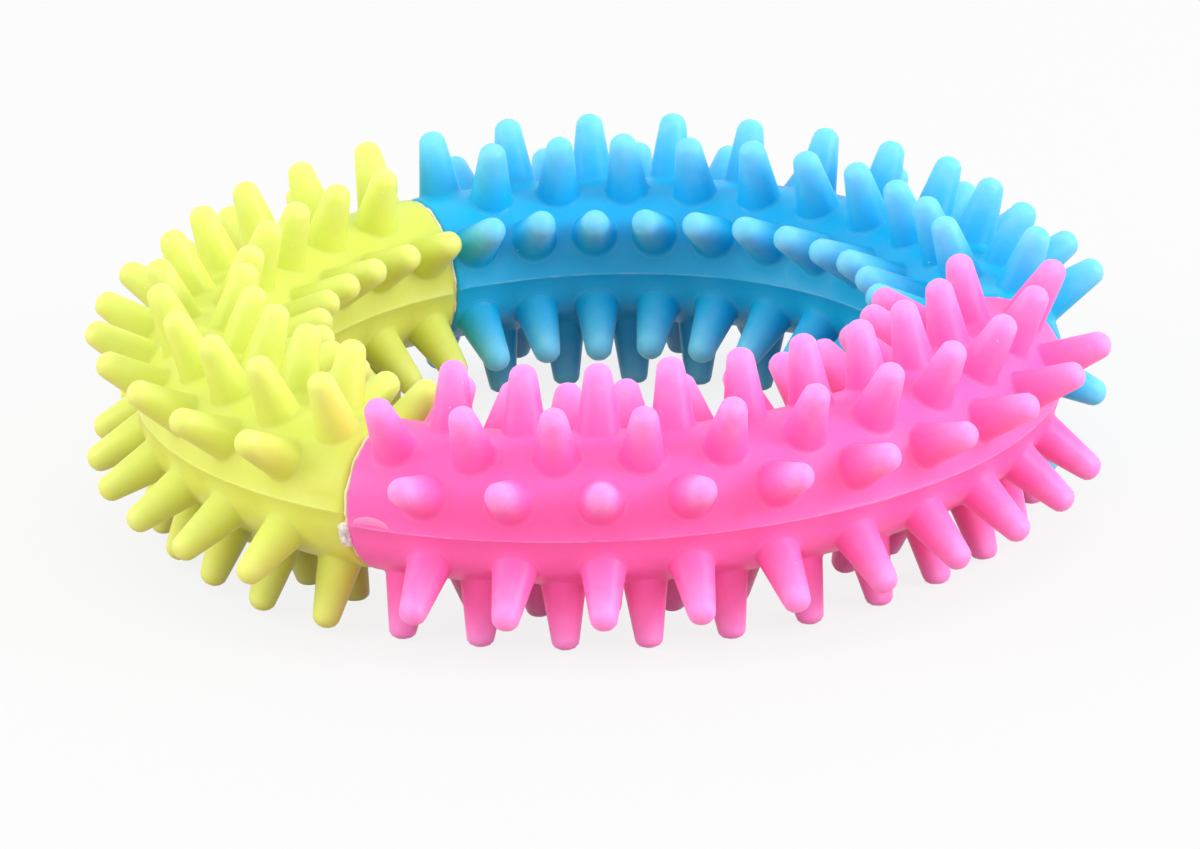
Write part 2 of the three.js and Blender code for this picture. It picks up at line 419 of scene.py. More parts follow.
def mixed(first, second, share):
    """The first value at share 0 and the second at share 1."""
    return share * (second - first) + first


def open_socket(sockets, name):
    """The socket of that name which is in use, since a node may keep one for each type."""
    return next(item for item in sockets if item.name == name and item.enabled)


def feed_all(node, values):
    """Links fields to a node's inputs, or sets constants on them."""
    for name, value in values.items():
        feed(open_socket(node.inputs, name), value)


def add_node(tree, kind, inputs=None, **settings):
    """Adds a node with its settings made and its inputs linked or set."""
    node = tree.nodes.new(kind)
    for name, value in settings.items():
        setattr(node, name, value)
    feed_all(node, inputs or {})
    return node


def result(node, name):
    """An output of a node as a field."""
    return Field(node.id_data, open_socket(node.outputs, name))


def output_of(tree, kind, output, inputs=None, **settings):
    """An output of a new node as a field."""
    return result(add_node(tree, kind, inputs, **settings), output)


def vector_of(tree, x, y, z):
    return output_of(tree, "ShaderNodeCombineXYZ", "Vector", {"X": x, "Y": y, "Z": z})


def parts_of(vector):
    """The three numbers of a vector field."""
    node = add_node(vector.tree, "ShaderNodeSeparateXYZ", {"Vector": vector})
    return tuple(result(node, axis) for axis in "XYZ")


def noise(place, grade, output="Fac"):
    """Noise about one half, of a scale and a detail."""
    scale, detail = grade
    inputs = {"Vector": place, "Scale": scale, "Detail": detail}
    return output_of(place.tree, "ShaderNodeTexNoise", output, inputs)


def new_tree(name, kind, outputs, inputs, numbers=()):
    """A node tree, its inputs as fields by name, and its output node."""
    tree = bpy.data.node_groups.new(name, kind)
    inputs = inputs | dict.fromkeys(numbers, "Float")
    for in_out, sockets in (("INPUT", inputs), ("OUTPUT", outputs)):
        for label, socket in sockets.items():
            tree.interface.new_socket(label, in_out=in_out, socket_type=f"NodeSocket{socket}")
    entry = tree.nodes.new("NodeGroupInput")
    fields = {label: Field(tree, entry.outputs[label]) for label in inputs}
    return tree, fields, tree.nodes.new("NodeGroupOutput")


def new_piece_tree(name, numbers, inputs):
    """A tree that makes a piece, with the inputs that all such trees have."""
    numbers = ("Ring Radius", "Tube Radius", "Middle Height", "Start Angle", *numbers)
    inputs = inputs | {"Material": "Material"}
    outputs = {"Geometry": "Geometry"}
    return new_tree(name, "GeometryNodeTree", outputs, inputs, numbers)


def use_group(tree, group, inputs):
    """Places a node group in a tree of the same kind."""
    node = tree.nodes.new(tree.bl_idname.replace("Tree", "Group"))
    node.node_tree = group
    feed_all(node, inputs)
    return node


def pick(index, choices):
    """The vector field that an index names."""
    node = index.tree.nodes.new("GeometryNodeIndexSwitch")
    node.data_type = "VECTOR"
    while len(node.index_switch_items) < len(choices):
        node.index_switch_items.new()
    feed_all(node, {"Index": index} | {str(number): item for number, item in enumerate(choices)})
    return result(node, "Output")


def named_attribute(tree, name, data_type="FLOAT"):
    return output_of(
        tree, "GeometryNodeInputNamedAttribute", "Attribute", {"Name": name}, data_type=data_type)


def changed(geometry, change, inputs, **settings):
    """Geometry after a node that changes it."""
    kind = f"GeometryNode{change}"
    return output_of(geometry.tree, kind, "Geometry", {"Geometry": geometry} | inputs, **settings)


def stored(geometry, name, value, data_type="FLOAT"):
    """Geometry that carries a value on its points under a name."""
    inputs = {"Name": name, "Value": value}
    return changed(geometry, "StoreNamedAttribute", inputs, data_type=data_type, domain="POINT")


def moved(geometry, position, selection=True):
    """Geometry with its selected points set to a position."""
    return changed(geometry, "SetPosition", {"Position": position, "Selection": selection})


def welded(geometry):
    """Geometry whose coincident points are merged."""
    return changed(geometry, "MergeByDistance", {"Distance": WELD_DISTANCE})


def smoothed(geometry):
    """Geometry shaded smooth, apart from its creases."""
    smooth = changed(geometry, "SetShadeSmooth", {"Shade Smooth": True})
    angle = output_of(geometry.tree, "GeometryNodeInputMeshEdgeAngle", "Unsigned Angle")
    inputs = {"Selection": is_more(angle, CREASE_ANGLE), "Shade Smooth": False}
    return changed(smooth, "SetShadeSmooth", inputs, domain="EDGE")


def finished(geometry, given):
    """Geometry turned about the ring's axis, lifted to its height and given its material."""
    place = vector_of(geometry.tree, 0.0, 0.0, given["Middle Height"])
    turn = vector_of(geometry.tree, 0.0, 0.0, given["Start Angle"])
    placed = changed(smoothed(geometry), "Transform", {"Translation": place, "Rotation": turn})
    bare = changed(placed, "RemoveAttribute", {"Name": "net_*"}, pattern_mode="WILDCARD")
    whole = changed(bare, "RealizeInstances", {})
    return changed(whole, "SetMaterial", {"Material": given["Material"]})


def own_position(tree):
    """Place of each point as a field."""
    return output_of(tree, "GeometryNodeInputPosition", "Position")


def made_by_nodes(name, tree, values, net=None):
    """An object with the plain mesh that a node tree makes, from a net where it takes one."""
    piece = bpy.data.objects.new(name, net or bpy.data.meshes.new(f"{name}_blank"))
    bpy.context.scene.collection.objects.link(piece)
    modifier = piece.modifiers.new(tree.name, "NODES")
    modifier.node_group = tree
    for item in tree.interface.items_tree:
        if item.name in values and item.in_out == "INPUT":
            modifier[item.identifier] = values[item.name]
    graph = bpy.context.evaluated_depsgraph_get()
    made = bpy.data.meshes.new_from_object(piece.evaluated_get(graph))
    piece.modifiers.remove(modifier)
    piece.data = made
    made.name = name
    return piece


# The net of tiles that an arc's skin is laid with


def column_angle(column, settings):
    """Angle along an arc of a column of tile corners. Long rows have spikes at odd columns."""
    ring = settings.ring
    margin = settings.spikes.end_margin / ring.ring_radius
    end = (settings.bonds.seam_width / 2 + ring.edge_round) / ring.ring_radius
    half_pitch = (ARC_ANGLE - 2 * margin) / (LAST_COLUMN - 2)
    if column == 0:
        return end
    if column == LAST_COLUMN:
        return ARC_ANGLE - end
    return margin + (column - 1) * half_pitch


def holds_spike(row, column):
    is_long = ROWS[row % len(ROWS)][1]
    return 0 < column < LAST_COLUMN and (column % 2 == 1) == is_long


def parting_half_angle(settings):
    return settings.ring.parting_width / 2 / settings.ring.tube_radius


def edge_angle(row, column, side, settings):
    """Angle round the tube of the edge under a row, seen from the row over it or under it.

    Between staggered rows the edge weaves round the spikes, so that each tile is a hexagon
    with its spike in the middle. At the parting line it leaves room for the ridge.
    """
    over = ROWS[row % len(ROWS)][0] + math.tau * (row // len(ROWS))
    under = ROWS[(row - 1) % len(ROWS)][0] + math.tau * ((row - 1) // len(ROWS))
    spacing = over - under
    middle = (over + under) / 2
    if row % (len(ROWS) // 2) == 0:
        return middle + side * parting_half_angle(settings)
    weave = holds_spike(row - 1, column) - holds_spike(row, column)
    return middle + weave * TILE_WEAVE * spacing


def tile(columns, low, around, high, settings):
    """Middle of a tile and its eight corners, counter-clockwise, as angles along and around.

    A spiked tile reaches over three columns, and a bare one over two with a middle between.
    """
    angles = [column_angle(column, settings) for column in columns]
    angles, low, high = (
        (ends[0], sum(ends) / 2, ends[1]) if len(ends) == 2 else ends
        for ends in (angles, low, high))
    left, middle, right = angles
    return (middle, around), (
        (left, low[0]), (middle, low[1]), (right, low[2]), (right, around),
        (right, high[2]), (middle, high[1]), (left, high[0]), (left, around))


def row_tile(row, columns, settings):
    low = [edge_angle(row, column, 1, settings) for column in columns]
    high = [edge_angle(row + 1, column, -1, settings) for column in columns]
    return tile(columns, low, ROWS[row][0], high, settings)


def spiked_tiles(settings):
    return [
        row_tile(row, (column - 1, column, column + 1), settings)
        for row in range(len(ROWS))
        for column in range(LAST_COLUMN + 1)
        if holds_spike(row, column)]


def end_tiles(settings):
    """Bare tiles at both ends of the short rows."""
    return [
        row_tile(row, (left, left + 1), settings)
        for row, (_, is_long) in enumerate(ROWS)
        for left in (0, LAST_COLUMN - 1)
        if not is_long]


def ridge_tiles(settings):
    """Narrow tiles along both parting lines."""
    half = parting_half_angle(settings)
    return [
        tile((left, left + 1), [line - half] * 2, line, [line + half] * 2, settings)
        for line in PARTING_LINES
        for left in range(LAST_COLUMN)]


def tile_net(name, settings):
    """A flat map of an arc's skin: one point for each tile, which carries the tile's corners."""
    kinds = (spiked_tiles(settings), end_tiles(settings), ridge_tiles(settings))
    tiles = [item for kind in kinds for item in kind]
    mesh = bpy.data.meshes.new(name)
    mesh.from_pydata([(*middle, 0) for middle, _ in tiles], [], [])
    for number in range(CORNERS):
        flat = [value for _, corners in tiles for value in (*corners[number], 0)]
        attribute = mesh.attributes.new(f"net_corner_{number}", "FLOAT_VECTOR", "POINT")
        attribute.data.foreach_set("vector", flat)
    marks = {"net_is_spiked": (1, 0, 0), "net_is_ridge": (0, 0, 1)}
    for label, values in marks.items():
        flat = [value for kind, value in zip(kinds, values) for _ in kind]
        mesh.attributes.new(label, "FLOAT", "POINT").data.foreach_set("value", flat)
    return mesh


# The tree that raises the net to a spiked arc


def tube_point_group():
    """A place on a ring's tube: along the ring, round the tube and from the tube's middle."""
    tree, given, exit_node = new_tree(
        "Tube Point", "GeometryNodeTree", {"Position": "Vector"}, {},
        ("Ring Radius", "Along", "Around", "Radius"))
    reach = given["Ring Radius"] + given["Radius"] * cosine(given["Around"])
    position = vector_of(
        tree, reach * cosine(given["Along"]), reach * sine(given["Along"]),
        given["Radius"] * sine(given["Around"]))
    feed_all(exit_node, {"Position": position})
    return tree


def on_tube(given, along, around, radius):
    """A place on the tube of the ring whose sizes a tree is given."""
    inputs = {
        "Ring Radius": given["Ring Radius"], "Along": along, "Around": around, "Radius": radius}
    tree = given["Ring Radius"].tree
    return result(use_group(tree, shared_group("Tube Point"), inputs), "Position")


def counted_grid(tree, columns, bands):
    """A flat grid, and the column and the band of each of its points."""
    inputs = {
        "Size X": float(columns), "Size Y": float(bands),
        "Vertices X": columns + 1, "Vertices Y": bands + 1}
    grid = output_of(tree, "GeometryNodeMeshGrid", "Mesh", inputs)
    x, y, _ = parts_of(own_position(tree))
    return grid, calculate("ROUND", x + columns / 2), calculate("ROUND", y + bands / 2)


def tile_patches(net, mark, columns, bands):
    """A grid for each tile that bears the mark. Its points know their column and band."""
    tree = net.tree
    grid, column, band = counted_grid(tree, columns, bands)
    patch = stored(stored(grid, "net_column", column), "net_band", band)
    inputs = {"Points": net, "Selection": mark, "Instance": patch}
    copies = output_of(tree, "GeometryNodeInstanceOnPoints", "Instances", inputs)
    return changed(copies, "RealizeInstances", {})


def spiked_arc_tree():
    """Raises a net of tiles to the closed skin of one spiked arc."""
    tree, given, exit_node = new_piece_tree(
        "Spiked Arc",
        ("Seam Width", "Edge Round", "Socket Radius", "Socket Depth", "Parting Line Height",
         "Spike Length", "Root Radius", "Tip Radius", "Tip Height", "Root Fillet", "Lean", "Roll"),
        {"Net": "Geometry", "Seed": "Int"})
    inputs = {"Min": (-1, -1, -1), "Max": (1, 1, 1), "Seed": given["Seed"]}
    lean = output_of(tree, "FunctionNodeRandomValue", "Value", inputs, data_type="FLOAT_VECTOR")
    net = stored(given["Net"], "net_middle", own_position(tree), "FLOAT_VECTOR")
    net = stored(net, "net_lean", lean, "FLOAT_VECTOR")
    is_spiked = named_attribute(tree, "net_is_spiked")
    band = named_attribute(tree, "net_band")

    spikes = tile_patches(net, is_spiked, SPIKE_SIDES, SPIKE_BANDS)
    is_root = is_less(size_of(band - SKIN_BANDS), 0.5)
    spikes = stored(spikes, "mould_line", is_root * ROOT_LINE)
    # Height up the cone, by which the material paints the spikes paler towards their tips (painted
    # light) and lays painted sheen patches on them
    climb = ramp(band, (SHOULDER_RING - 1, SHOULDER_RING))
    spikes = stored(spikes, "spike_height", climb)
    spikes = moved(spikes, spike_position(tree, given))
    bare = tile_patches(net, 1 - is_spiked, BARE_COLUMNS, BARE_BANDS)
    # The crest of a parting ridge is painted paler: a painted highlight where the ridge catches
    # the light
    is_crest = is_less(size_of(band - BARE_BANDS / 2), CREST_BANDS)
    line = is_crest * named_attribute(tree, "net_is_ridge")
    bare = stored(bare, "mould_line", line)
    bare = moved(bare, bare_position(tree, given))
    join = tree.nodes.new("GeometryNodeJoinGeometry")
    for part in (bare, spikes):
        feed(join.inputs["Geometry"], part)
    skin = closed_ends(welded(result(join, "Geometry")), given)
    skin = welded(standing(skin, given))
    feed_all(exit_node, {"Geometry": finished(skin, given)})
    return tree


def map_corners(tree, roll):
    """Corners of a point's tile on the rolled map, as vectors of along and around."""
    turn = vector_of(tree, 0.0, roll, 0.0)
    names = [f"net_corner_{number}" for number in range(CORNERS)]
    return [named_attribute(tree, name, "FLOAT_VECTOR") + turn for name in names]


def spike_position(tree, given):
    """Place of a point on a spiked tile, from its side and its band."""
    side = named_attribute(tree, "net_column")
    band = named_attribute(tree, "net_band")
    middle = named_attribute(tree, "net_middle", "FLOAT_VECTOR")
    along, around, _ = parts_of(middle + vector_of(tree, 0.0, given["Roll"], 0.0))
    side_angle = side * (math.tau / SPIKE_SIDES) + FIRST_SIDE_ANGLE
    tube_radius = given["Tube Radius"]
    reach = given["Ring Radius"] + tube_radius * cosine(around)

    def round_spike(radius):
        """Point of the map at a distance from the spike's middle."""
        shift = radius * cosine(side_angle) / reach
        climb = radius * sine(side_angle) / tube_radius
        return vector_of(tree, along + shift, around + climb, 0.0)

    # The tile's edge, cut between its corners
    corners = map_corners(tree, given["Roll"])
    corner = calculate("FLOOR", (side + 0.5) / CORNER_CUTS)
    first = pick(calculate("MODULO", corner, CORNERS), corners)
    second = pick(calculate("MODULO", corner + 1, CORNERS), corners)
    edge = mixed(first, second, side / CORNER_CUTS - corner)

    # The skin from the edge to the fillet, which bends up to the cone and stays on its tile
    fillet_place = round_spike(given["Root Radius"] + given["Root Fillet"])
    fillet_along, fillet_around, _ = parts_of(fillet_place)
    left, right = (parts_of(corners[number])[0] for number in (0, 2))
    fillet_edge = vector_of(tree, held(fillet_along, left, right), fillet_around, 0.0)
    skin_along, skin_around, _ = parts_of(mixed(edge, fillet_edge, smaller(band / SKIN_BANDS, 1)))
    skin = on_tube(given, skin_along, skin_around, tube_radius)
    root_along, root_around, _ = parts_of(round_spike(given["Root Radius"]))
    root = on_tube(given, root_along, root_around, tube_radius)

    # The round tip, whose lowest ring is the cone's upper end
    turn = ramp(band, (SHOULDER_RING, SPIKE_BANDS)) * (math.pi / 2)
    spoke = vector_of(tree, cosine(along), sine(along), 0.0)
    forward = vector_of(tree, -sine(along), cosine(along), 0.0)
    upright = vector_of(tree, 0.0, 0.0, 1.0)
    outward = spoke * cosine(around) + upright * sine(around)
    sideways = upright * cosine(around) - spoke * sine(around)
    shoulder = given["Spike Length"] - given["Tip Height"]
    height = tube_radius + shoulder + given["Tip Height"] * sine(turn)
    lean = named_attribute(tree, "net_lean", "FLOAT_VECTOR") * given["Lean"]
    lean_x, lean_y, lean_z = parts_of(lean)
    radius = given["Tip Radius"] * cosine(turn)
    tip = spoke * given["Ring Radius"] + outward * (height + lean_z)
    tip = tip + forward * (radius * cosine(side_angle) + lean_x)
    tip = tip + sideways * (radius * sine(side_angle) + lean_y)

    bend = ramp(band, (SKIN_BANDS, SKIN_BANDS + FILLET_BANDS))
    fillet_top = mixed(root, tip, given["Root Fillet"] / shoulder)
    fillet = mixed(mixed(skin, root, bend), mixed(root, fillet_top, bend), bend)
    return mixed(fillet, tip, is_more(band, SHOULDER_RING - 0.5))


def bare_position(tree, given):
    """Place of a point on a bare tile. On a parting line the tile is a low round ridge."""
    corners = map_corners(tree, given["Roll"])
    across = named_attribute(tree, "net_column") / BARE_COLUMNS
    climb = named_attribute(tree, "net_band") / BARE_BANDS
    low = mixed(corners[0], corners[2], across)
    middle = mixed(corners[7], corners[3], across)
    high = mixed(corners[6], corners[4], across)
    lower_half = (middle - low) * smaller(climb * 2, 1)
    upper_half = (high - middle) * larger(climb * 2 - 1, 0)
    along, around, _ = parts_of(low + lower_half + upper_half)
    ridge = given["Parting Line Height"] * sine(climb * math.pi)
    ridge = ridge * named_attribute(tree, "net_is_ridge")
    return on_tube(given, along, around, given["Tube Radius"] + ridge)


def closed_ends(skin, given):
    """Closes both ends of a skin with a rounded edge, an end face and a blind socket."""
    tree = skin.tree
    x, y, z = parts_of(own_position(tree))
    flat_distance = calculate("SQRT", x * x + y * y)
    around = calculate("ARCTAN2", z, flat_distance - given["Ring Radius"])
    is_far_end = is_more(calculate("ARCTAN2", y, x), ARC_ANGLE / 2)
    end = given["Seam Width"] / 2 / given["Ring Radius"]
    end_along = mixed(end, ARC_ANGLE - end, is_far_end)
    facing = 1 - 2 * is_far_end
    inward = vector_of(tree, -sine(end_along), cosine(end_along), 0.0) * facing
    edge_round = given["Edge Round"]

    rings = []
    for step in range(1, END_ROUND_STEPS + 1):
        turn = step / END_ROUND_STEPS * math.pi / 2
        inset = edge_round * (1 - math.sin(turn)) / given["Ring Radius"]
        radius = given["Tube Radius"] - edge_round * (1 - math.cos(turn))
        rings.append(on_tube(given, end_along + inset * facing, around, radius))
    mouth = on_tube(given, end_along, around, given["Socket Radius"])
    floor_middle = on_tube(given, end_along, around, 0.0) + inward * given["Socket Depth"]
    rings += [mouth, mouth + inward * given["Socket Depth"], floor_middle]

    face_count = output_of(tree, "GeometryNodeInputMeshEdgeNeighbors", "Face Count")
    selection = is_less(face_count, 1.5)
    for ring in rings:
        extrude = add_node(
            tree, "GeometryNodeExtrudeMesh",
            {"Mesh": skin, "Selection": selection, "Offset Scale": 0.0}, mode="EDGES")
        selection = result(extrude, "Top")
        skin = moved(result(extrude, "Mesh"), ring, selection)
    return skin


def standing(skin, given):
    """Flattens the lower tips on the plane that the ring stands on."""
    x, y, z = parts_of(own_position(skin.tree))
    flattened = calculate("SMOOTH_MAX", z, -given["Middle Height"], FOOT_ROUND)
    return moved(skin, vector_of(skin.tree, x, y, flattened))


# The trees of the adhesive beads and of the gate marks


def adhesive_bead_tree():
    """A closed bead of adhesive in the groove between two arc ends, round the plug."""
    tree, given, exit_node = new_piece_tree(
        "Adhesive Bead",
        ("Seam Width", "Edge Round", "Socket Radius", "Fill", "Meniscus", "Lump", "Squeeze Height",
         "Squeeze Spread", "Squeeze Shift", "Squeeze Angle", "Squeeze Reach", "Seed"), {})
    grid, column, point = counted_grid(tree, BEAD_COLUMNS, BEAD_POINTS)
    around = column * (math.tau / BEAD_COLUMNS)
    point = calculate("MODULO", point, BEAD_POINTS)

    # How much was squeezed out at this angle, and the unevenness of the crown
    offset = calculate("WRAP", around - given["Squeeze Angle"], math.pi, -math.pi)
    nearness = 1 - size_of(offset) / given["Squeeze Reach"]
    rise = held(nearness * SQUEEZE_STEEPNESS)
    squeeze = rise * rise * (3 - 2 * rise)
    place = vector_of(tree, cosine(around), sine(around), given["Seed"])
    crown = given["Fill"] + given["Lump"] * (noise(place, CROWN) - 0.5)
    crown = crown + given["Squeeze Height"] * squeeze

    # The section: a half ellipse over the groove, and two points at the plug
    half_seam = given["Seam Width"] / 2
    turn = (0.5 - point / BEAD_CAP_STEPS) * math.pi
    spread = squeeze * mixed(*SPREAD_RANGE, noise(place, SPREAD))
    half_width = half_seam + given["Meniscus"] + given["Squeeze Spread"] * spread
    foot = given["Tube Radius"] - given["Edge Round"]
    is_inner = is_more(point, BEAD_CAP_STEPS + 0.5)
    inner_side = half_seam * (2 * (point - BEAD_CAP_STEPS) - 3)
    radius = mixed(foot + crown * cosine(turn), given["Socket Radius"], is_inner)
    outer_side = half_width * sine(turn) - given["Squeeze Shift"] * squeeze
    sideways = mixed(outer_side, inner_side, is_inner)
    reach = given["Ring Radius"] + radius * cosine(around)
    bead = stored(grid, "squeeze", squeeze)
    bead = welded(moved(bead, vector_of(tree, reach, sideways, radius * sine(around))))
    feed_all(exit_node, {"Geometry": finished(bead, given)})
    return tree


def gate_mark_tree():
    """A closed crescent that lies with its straight side on the outer parting line."""
    tree, given, exit_node = new_piece_tree(
        "Gate Mark", ("Start", "Length", "Height", "Rise", "Root", "Roll"), {})
    inputs = {
        "Size": (1, 1, 1), "Vertices X": GATE_COLUMNS + 1, "Vertices Y": GATE_BANDS + 1,
        "Vertices Z": 2}
    block = output_of(tree, "GeometryNodeMeshCube", "Mesh", inputs)
    x, y, z = parts_of(own_position(tree))
    share, climb = x + 0.5, y + 0.5
    outline = calculate("SQRT", larger(1 - 4 * x * x, 0))
    reach = given["Ring Radius"] + given["Tube Radius"]
    along = (given["Start"] + given["Length"] * share) / reach
    height = given["Height"] * outline * (GATE_HOLLOW + (1 - GATE_HOLLOW) * climb)
    around = given["Roll"] + height / given["Tube Radius"]
    rise = given["Rise"] * outline * (1 - climb)
    radius = given["Tube Radius"] + mixed(-given["Root"], rise, is_more(z, 0))
    # The climb to the rim is stored as the tip share, by which the mark is painted paler towards
    # its rim: a painted highlight
    mark = stored(block, "spike_height", climb)
    mark = welded(moved(mark, on_tube(given, along, around, radius)))
    feed_all(exit_node, {"Geometry": finished(mark, given)})
    return tree


# Materials


def moulded_skin_group():
    """Moulded rubber: uneven colour, pale mould lines, a painted highlight on the parting ridge,
    tips painted paler as painted light, painted sheen patches, uneven gloss and a grain.
    """
    tree, given, exit_node = new_tree(
        "Moulded Skin", "ShaderNodeTree",
        {"Colour": "Color", "Roughness": "Float", "Height": "Float"},
        {"Place": "Vector", "Colour": "Color", "Tip Colour": "Color"},
        ("Spike Height", "Mould Line"))
    place = given["Place"]
    blotches = noise(place, BLOTCHES) - 0.5
    cloud = noise(place, CLOUDS) - 0.5
    grain = noise(place, GRAIN)
    # Painted light: the spikes are painted paler towards their tips, where the light falls on them
    tip = given["Spike Height"] * given["Spike Height"]
    colour = mixed(given["Colour"], given["Tip Colour"], tip)
    colour = colour * (1 + blotches * BLOTCH_CONTRAST + cloud * CLOUD_CONTRAST)
    # Pale mould lines round the spike roots, and a painted highlight along the crest of the
    # parting ridge
    unbroken = ramp(noise(place, LINE_BREAKS), LINE_BREAK_RANGE)
    line = ramp(given["Mould Line"], LINE_RANGE) * unbroken
    # Painted sheen: pale patches towards the spike tips stand in for the sheen on them
    sheen_patch = ramp(noise(place, SHEEN_PATCHES), SHEEN_PATCH_RANGE)
    sheen_patch = sheen_patch * given["Spike Height"] * SHEEN_PATCH_STRENGTH
    pale = mixed(colour, (1.0, 1.0, 1.0), PALENESS_OF_MARKS_AND_HIGHLIGHTS)
    roughness = SATIN_ROUGHNESS + cloud * CLOUD_ROUGHNESS + (grain - 0.5) * GRAIN_ROUGHNESS
    feed_all(exit_node, {
        "Colour": mixed(colour, pale, larger(line, sheen_patch)), "Roughness": roughness,
        "Height": grain + cloud * CLOUD_HEIGHT})
    return tree


def lint_group():
    """Sparse specks, each a small warped blob with a soft edge."""
    tree, given, exit_node = new_tree(
        "Lint Specks", "ShaderNodeTree", {"Mask": "Float"},
        {"Place": "Vector"}, ("Spacing", "Size", "Share"))
    warp = noise(given["Place"], LINT_WARP, "Color")
    place = given["Place"] + (warp - (0.5, 0.5, 0.5)) * given["Size"]
    cells = add_node(
        tree, "ShaderNodeTexVoronoi", {"Vector": place, "Scale": 1 / given["Spacing"]})
    chance, growth, _ = parts_of(result(cells, "Color"))
    size = given["Size"] * mixed(LINT_SMALLEST, 1.0, growth)
    distance = result(cells, "Distance") * given["Spacing"]
    speck = held((size - distance) * LINT_EDGE / size)
    feed_all(exit_node, {"Mask": speck * is_less(chance, given["Share"])})
    return tree


def shared_group(name):
    """A node group that several materials or trees use, made on its first use."""
    makers = {
        "Tube Point": tube_point_group, "Moulded Skin": moulded_skin_group,
        "Lint Specks": lint_group}
    return bpy.data.node_groups.get(name) or makers[name]()


def new_material(name):
    """A material with its tree, its shader and its Object coordinates."""
    material = bpy.data.materials.new(name)
    material.use_nodes = True
    tree = material.node_tree
    place = output_of(tree, "ShaderNodeTexCoord", "Object")
    return material, tree, tree.nodes["Principled BSDF"], place


def attribute_value(tree, name):
    """A number that the mesh carries on its points."""
    return output_of(tree, "ShaderNodeAttribute", "Fac", attribute_name=name)


def bump(height, strength, distance):
    """Normal of a surface that a field raises."""
    inputs = {"Height": height, "Strength": strength, "Distance": distance}
    return output_of(height.tree, "ShaderNodeBump", "Normal", inputs)


def rubber_material(name, colour, tip_colour, lint, softness):
    """Soft satin rubber, which light enters a little where it is thick; tips are painted paler, as
    painted light.
    """
    material, tree, shader, place = new_material(name)
    inputs = {
        "Place": place, "Colour": (*colour, 1), "Tip Colour": (*tip_colour, 1),
        "Spike Height": attribute_value(tree, "spike_height"),
        "Mould Line": attribute_value(tree, "mould_line")}
    skin = use_group(tree, shared_group("Moulded Skin"), inputs)
    inputs = {"Place": place, "Spacing": LINT_SPACING, "Size": LINT_SIZE, "Share": LINT_SHARE}
    specks = result(use_group(tree, shared_group("Lint Specks"), inputs), "Mask")
    feed_all(shader, {
        "Base Color": mixed(result(skin, "Colour"), tuple(lint), specks * LINT_STRENGTH),
        "Roughness": result(skin, "Roughness"),
        "Normal": bump(result(skin, "Height"), RUBBER_GRAIN, GRAIN_DEPTH),
        "Subsurface Weight": softness, "Subsurface Radius": tuple(colour),
        "Subsurface Scale": LIGHT_DEPTH, "Specular IOR Level": RUBBER_SHINE})
    return material


def plug_material(colours):
    """Matt pale rubber."""
    material, tree, shader, place = new_material("plug_rubber")
    inputs = {
        "Place": place, "Colour": (*colours.plug, 1), "Tip Colour": (*colours.plug, 1),
        "Spike Height": 0.0, "Mould Line": 0.0}
    skin = use_group(tree, shared_group("Moulded Skin"), inputs)
    feed_all(shader, {
        "Base Color": result(skin, "Colour"),
        "Roughness": result(skin, "Roughness") + PLUG_ROUGHNESS,
        "Normal": bump(result(skin, "Height"), PLUG_GRAIN, GRAIN_DEPTH)})
    return material


def adhesive_material(colours):
    """Cured adhesive: cream where it is thin, off-white and lumpy where it was squeezed out."""
    material, tree, shader, place = new_material("cured_adhesive")
    squeeze = attribute_value(tree, "squeeze")
    lumps = noise(place, LUMPS)
    stretches = ramp(noise(place, STRETCHES), STRETCH_RANGE) * STRETCH_AMBER
    thick = ramp(squeeze * THICK_STEEPNESS + lumps, THICK_RANGE)
    flank = larger(1 - size_of(squeeze - FLANK_SQUEEZE) / FLANK_REACH, 0)
    amber = larger(flank * ramp(lumps, FLANK_RANGE) * FLANK_AMBER, stretches)
    thin = mixed(Vector(colours.thin_adhesive), Vector(colours.amber_adhesive), amber)
    colour = mixed(thin, tuple(colours.adhesive), thick)
    pits = 1 - ramp(lumps, PIT_RANGE)
    feed_all(shader, {
        "Base Color": colour * (1 - thick * pits * PIT_SHADE),
        "Roughness": mixed(*ADHESIVE_ROUGHNESS, lumps),
        "Normal": bump(lumps, LUMP_BUMP, LUMP_DEPTH),
        "Subsurface Weight": ADHESIVE_SOFTNESS, "Subsurface Radius": ADHESIVE_DEPTHS,
        "Subsurface Scale": ADHESIVE_DEPTH})
    return material


# Stage


def ray_is_seen(tree):
    """1 for what the camera sees directly, mirrored or through glass, and otherwise 0."""
    path = tree.nodes.new("ShaderNodeLightPath")
    seen = result(path, "Is Camera Ray") + result(path, "Is Glossy Ray")
    return smaller(seen + result(path, "Is Transmission Ray"), 1)


